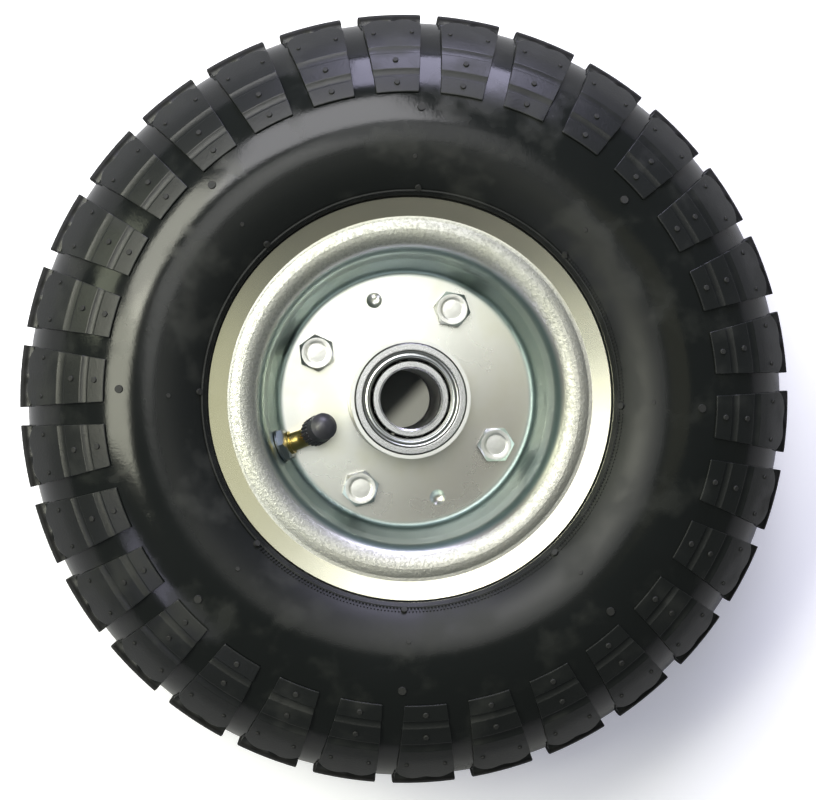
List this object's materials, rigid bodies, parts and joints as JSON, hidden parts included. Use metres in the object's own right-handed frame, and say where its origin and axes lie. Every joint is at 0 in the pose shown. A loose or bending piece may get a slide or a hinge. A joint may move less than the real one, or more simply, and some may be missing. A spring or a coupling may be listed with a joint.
{
  "type": "pneumatic wheel",
  "caption": "Pneumatic wheel with a chunky block tread tyre, a bolted two-part pressed steel rim, a bent valve and a ball-bearing hub for a plain axle.",
  "frame": {"origin": "centre of the wheel, on the axle line and the middle plane where the two rim halves meet", "axes": "+Z along the axle towards the valve's side, which is up as the wheel lies flat; +X from the axle line through the valve hole"},
  "size_m": [0.26, 0.26, 0.085],
  "materials": {
    "tyre_rubber": "satin",
    "tube_rubber": "satin",
    "zinc_plate": "satin",
    "hub_steel": "satin",
    "weld_steel": "satin",
    "bearing_steel": "polished",
    "ball_steel": "polished",
    "cage_steel": "satin",
    "shield_steel": "satin",
    "bolt_zinc": "satin",
    "brass": "satin",
    "spring_steel": "satin",
    "cap_plastic": "matte",
    "seal_rubber": "matte"
  },
  "bodies": {
    "axle_side": {"near_inner_ring": "bearing_steel", "far_inner_ring": "bearing_steel", "spacer_tube": "hub_steel"},
    "wheel": {"tyre": "tyre_rubber", "inner_tube": "tube_rubber", "near_rim_half": "zinc_plate", "far_rim_half": "zinc_plate", "hub_tube": "hub_steel", "hub_weld": "weld_steel", "valve_stem": "brass", "valve_core": "brass", "core_spring": "spring_steel", "valve_washer": "zinc_plate", "valve_nut": "zinc_plate", "near_outer_ring": "bearing_steel", "near_outer_shield": "shield_steel", "near_inner_shield": "shield_steel", "far_outer_ring": "bearing_steel", "far_outer_shield": "shield_steel", "far_inner_shield": "shield_steel", "bolt_1": "bolt_zinc", "lock_washer_1": "bolt_zinc", "nut_1": "bolt_zinc", "bolt_2": "bolt_zinc", "lock_washer_2": "bolt_zinc", "nut_2": "bolt_zinc", "bolt_3": "bolt_zinc", "lock_washer_3": "bolt_zinc", "nut_3": "bolt_zinc", "bolt_4": "bolt_zinc", "lock_washer_4": "bolt_zinc", "nut_4": "bolt_zinc"},
    "near_ball_row": {"near_balls": "ball_steel", "near_cage": "cage_steel"},
    "far_ball_row": {"far_balls": "ball_steel", "far_cage": "cage_steel"},
    "dust_cap": {"valve_cap": "cap_plastic", "cap_seal": "seal_rubber"},
    "core_pin": {"valve_pin": "brass"}
  },
  "joints": [
    {"name": "wheel_spin", "type": "hinge", "parent": "axle_side", "child": "wheel", "pos_m": [0, 0, 0], "axis": [0, 0, 1], "continuous": true},
    {"name": "near_ball_row_spin", "type": "hinge", "parent": "axle_side", "child": "near_ball_row", "pos_m": [0, 0, 0.0305], "axis": [0, 0, 1], "continuous": true},
    {"name": "far_ball_row_spin", "type": "hinge", "parent": "axle_side", "child": "far_ball_row", "pos_m": [0, 0, -0.0305], "axis": [0, 0, 1], "continuous": true},
    {"name": "cap_off", "type": "slide", "parent": "wheel", "child": "dust_cap", "axis": [-0.3432, -0.0846, 0.9354], "range_m": [0, 0.014]},
    {"name": "pin_press", "type": "slide", "parent": "wheel", "child": "core_pin", "axis": [0.3432, 0.0846, -0.9354], "range_m": [0, 0.0015], "stiffness_N_per_m": 400, "deforming": ["core_spring"]}
  ],
  "couplings": [
    {"joint": "near_ball_row_spin", "follows": "wheel_spin", "ratio": 0.58354},
    {"joint": "far_ball_row_spin", "follows": "wheel_spin", "ratio": 0.58354}
  ]
}
